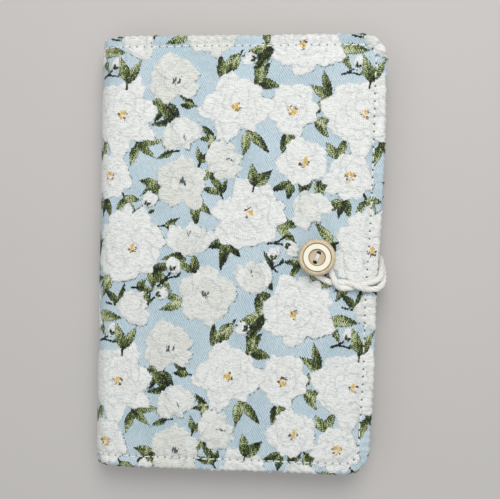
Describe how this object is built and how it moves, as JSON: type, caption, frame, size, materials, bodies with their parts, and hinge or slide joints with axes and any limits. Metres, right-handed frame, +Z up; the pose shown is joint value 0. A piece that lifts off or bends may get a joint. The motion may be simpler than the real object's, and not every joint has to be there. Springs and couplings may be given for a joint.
{
  "type": "circular needle case",
  "caption": "Book-style padded fabric case for circular knitting needles, with inner pocket leaves, a wooden button and a cotton cord loop that closes round the fore edge.",
  "frame": {"origin": "middle of the bounding box in X and Y, loop included, on the surface that the back cover lies on", "axes": "+Z up out of the front cover, +Y along the spine towards the head, +X from the spine towards the fore edge"},
  "size_m": [0.1453, 0.216, 0.028],
  "materials": {
    "floral_fabric": "woven floral jacquard in pale blue, white and green",
    "foam": "matte sew-in foam",
    "lining_cotton": "plain woven cotton",
    "page_cotton": "plain woven cotton, stiffened",
    "pocket_cotton": "plain woven cotton",
    "binding_tape": "folded cotton tape",
    "button_wood": "turned and satin varnished",
    "thread": "white sewing thread",
    "loop_cord": "white twisted cotton cord"
  },
  "bodies": {
    "back_cover": {"back_cover_fabric": "floral_fabric", "back_foam_panel": "foam", "back_lining": "lining_cotton", "back_inside_pocket": "pocket_cotton", "back_pocket_binding": "binding_tape"},
    "spine": {"spine_fabric": "floral_fabric", "spine_lining": "lining_cotton"},
    "front_cover": {"front_cover_fabric": "floral_fabric", "front_foam_panel": "foam", "front_lining": "lining_cotton", "front_inside_pocket": "pocket_cotton", "front_pocket_binding": "binding_tape", "button_thread_shank": "thread"},
    "button": {"wooden_button": "button_wood", "button_stitch_thread": "thread"},
    "cord_loop": {"cord_loop": "loop_cord"},
    "leaf_1": {"leaf_1_page": "page_cotton", "leaf_1_pocket_rear": "pocket_cotton", "leaf_1_pocket_front": "pocket_cotton", "leaf_1_binding_rear": "binding_tape", "leaf_1_binding_front": "binding_tape"},
    "leaf_2": {"leaf_2_page": "page_cotton", "leaf_2_pocket_rear": "pocket_cotton", "leaf_2_pocket_front": "pocket_cotton", "leaf_2_binding_rear": "binding_tape", "leaf_2_binding_front": "binding_tape"},
    "leaf_3": {"leaf_3_page": "page_cotton", "leaf_3_pocket_rear": "pocket_cotton", "leaf_3_pocket_front": "pocket_cotton", "leaf_3_binding_rear": "binding_tape", "leaf_3_binding_front": "binding_tape"},
    "leaf_4": {"leaf_4_page": "page_cotton", "leaf_4_pocket_rear": "pocket_cotton", "leaf_4_pocket_front": "pocket_cotton", "leaf_4_binding_rear": "binding_tape", "leaf_4_binding_front": "binding_tape"}
  },
  "joints": [
    {"name": "spine_fold", "type": "hinge", "parent": "back_cover", "child": "spine", "pos_m": [-0.07026, 0, 0.00234], "axis": [0, -1, 0], "range_deg": [0, 87.5]},
    {"name": "front_fold", "type": "hinge", "parent": "spine", "child": "front_cover", "pos_m": [-0.07026, 0, 0.01766], "axis": [0, -1, 0], "range_deg": [0, 87.5]},
    {"name": "leaf_1_turn", "type": "hinge", "parent": "spine", "child": "leaf_1", "pos_m": [-0.0703, 0, 0.0064], "axis": [0, -1, 0], "range_deg": [-66, 0]},
    {"name": "leaf_2_turn", "type": "hinge", "parent": "spine", "child": "leaf_2", "pos_m": [-0.0703, 0, 0.0088], "axis": [0, -1, 0], "range_deg": [-27, 0]},
    {"name": "leaf_3_turn", "type": "hinge", "parent": "spine", "child": "leaf_3", "pos_m": [-0.0703, 0, 0.0112], "axis": [0, -1, 0], "range_deg": [0, 27]},
    {"name": "leaf_4_turn", "type": "hinge", "parent": "spine", "child": "leaf_4", "pos_m": [-0.0703, 0, 0.0136], "axis": [0, -1, 0], "range_deg": [0, 66]},
    {"name": "button_turn", "type": "hinge", "parent": "front_cover", "child": "button", "pos_m": [0.0381, -0.002, 0.0236], "axis": [0, 0, 1], "range_deg": [-30, 30]},
    {"name": "loop_swing", "type": "hinge", "parent": "back_cover", "child": "cord_loop", "pos_m": [0.0699, 0, 0.0024], "axis": [0, 1, 0], "range_deg": [0, 80], "deforming": ["cord_loop"]}
  ],
  "couplings": [
    {"joint": "front_fold", "follows": "spine_fold", "ratio": 1},
    {"joint": "leaf_1_turn", "follows": "spine_fold", "ratio": -0.75},
    {"joint": "leaf_2_turn", "follows": "spine_fold", "ratio": -0.3},
    {"joint": "leaf_3_turn", "follows": "spine_fold", "ratio": 0.3},
    {"joint": "leaf_4_turn", "follows": "spine_fold", "ratio": 0.75}
  ]
}
